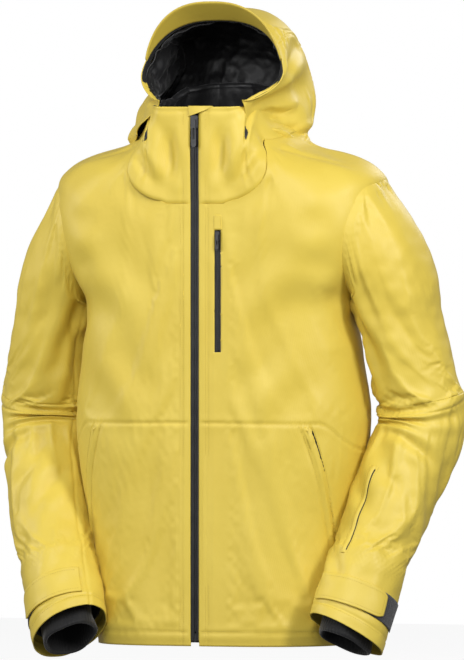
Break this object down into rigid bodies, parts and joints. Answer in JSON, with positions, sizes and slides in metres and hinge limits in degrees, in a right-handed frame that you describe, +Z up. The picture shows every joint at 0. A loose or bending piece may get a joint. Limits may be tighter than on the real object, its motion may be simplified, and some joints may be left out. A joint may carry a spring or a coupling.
{
  "type": "ski jacket",
  "caption": "Insulated hooded ski jacket shaped as worn, with a full-length front zip, a vertical chest zip, bent sleeves, wrist gaiters and hook-and-loop cuff straps.",
  "frame": {"origin": "middle of the hanger loop's underside, inside the back of the neck", "axes": "+Z up, -Y the front of the jacket, +X the wearer's left"},
  "size_m": [0.7828, 0.3283, 1.0448],
  "materials": {
    "shell": "satin",
    "lining": "matte",
    "zip": "matte",
    "hardware": "satin",
    "loop": "matte"
  },
  "bodies": {
    "torso": {"back_panel": "shell", "back_yoke": "shell", "body_lining_back": "lining", "body_lining_left": "lining", "body_lining_right": "lining", "chest_zip_garage": "shell", "chest_zip_tape_left": "zip", "chest_zip_tape_right": "zip", "collar_back": "shell", "collar_left": "shell", "collar_lining_left": "lining", "collar_lining_right": "lining", "collar_right": "shell", "front_lower_left": "shell", "front_lower_right": "shell", "front_upper_left": "shell", "front_upper_right": "shell", "hanger_loop": "zip", "hood_neck_band": "shell", "left_pocket_welt": "shell", "left_pocket_zip": "zip", "main_zip_box": "hardware", "main_zip_coil_left": "hardware", "main_zip_coil_right": "hardware", "main_zip_tape_left": "zip", "main_zip_tape_right": "zip", "powder_skirt": "lining", "right_pocket_welt": "shell", "right_pocket_zip": "zip", "storm_flap": "lining", "zip_garage": "shell"},
    "hood": {"hood_brim": "shell", "hood_crown": "shell", "hood_lining": "lining", "hood_side_left": "shell", "hood_side_right": "shell"},
    "left_upper_sleeve": {"left_upper_sleeve": "shell"},
    "right_upper_sleeve": {"right_upper_sleeve": "shell"},
    "left_forearm": {"left_cuff_loop_patch": "loop", "left_forearm": "shell", "left_forearm_lining": "lining", "left_pass_pocket_welt": "shell", "left_wrist_gaiter": "lining"},
    "right_forearm": {"right_cuff_loop_patch": "loop", "right_forearm": "shell", "right_forearm_lining": "lining", "right_wrist_gaiter": "lining"},
    "left_cuff_strap": {"left_cuff_strap": "shell"},
    "right_cuff_strap": {"right_cuff_strap": "shell"},
    "main_slider": {"main_zip_slider": "hardware"},
    "main_pull": {"main_zip_pull": "hardware"},
    "chest_slider": {"chest_zip_slider": "hardware"},
    "chest_pull": {"chest_zip_pull": "hardware"}
  },
  "joints": [
    {"name": "hood_fold", "type": "hinge", "parent": "torso", "child": "hood", "pos_m": [0, 0.0435, 0.0061], "axis": [-1, 0, 0], "range_deg": [0, 70]},
    {"name": "left_shoulder_swing", "type": "hinge", "parent": "torso", "child": "left_upper_sleeve", "pos_m": [0.231, -0.0554, -0.163], "axis": [-0.972, 0, 0.2351], "range_deg": [0, 35]},
    {"name": "left_elbow_bend", "type": "hinge", "parent": "left_upper_sleeve", "child": "left_forearm", "pos_m": [0.325, -0.0204, -0.472], "axis": [-0.9998, 0, -0.0206], "range_deg": [0, 45]},
    {"name": "left_cuff_strap_peel", "type": "hinge", "parent": "left_forearm", "child": "left_cuff_strap", "pos_m": [0.2292, -0.19283, -0.72421], "axis": [-0.2134, -0.3998, -0.8914], "range_deg": [0, 50]},
    {"name": "right_shoulder_swing", "type": "hinge", "parent": "torso", "child": "right_upper_sleeve", "pos_m": [-0.231, -0.0554, -0.163], "axis": [-0.972, 0, -0.2351], "range_deg": [0, 35]},
    {"name": "right_elbow_bend", "type": "hinge", "parent": "right_upper_sleeve", "child": "right_forearm", "pos_m": [-0.325, -0.0204, -0.472], "axis": [-0.9998, 0, 0.0206], "range_deg": [0, 45]},
    {"name": "right_cuff_strap_peel", "type": "hinge", "parent": "right_forearm", "child": "right_cuff_strap", "pos_m": [-0.21562, -0.21969, -0.72197], "axis": [-0.2499, 0.4637, 0.85], "range_deg": [0, 50]},
    {"name": "main_zip", "type": "slide", "parent": "torso", "child": "main_slider", "axis": [0, 0, -1], "range_m": [0, 0.8]},
    {"name": "main_pull_swing", "type": "hinge", "parent": "main_slider", "child": "main_pull", "pos_m": [0, -0.1983, 0.0131], "axis": [-1, 0, 0], "range_deg": [0, 110]},
    {"name": "chest_zip", "type": "slide", "parent": "torso", "child": "chest_slider", "axis": [0, 0, -1], "range_m": [0, 0.175]},
    {"name": "chest_pull_swing", "type": "hinge", "parent": "chest_slider", "child": "chest_pull", "pos_m": [0.039, -0.1975, -0.1698], "axis": [-1, 0, 0], "range_deg": [0, 110]}
  ]
}
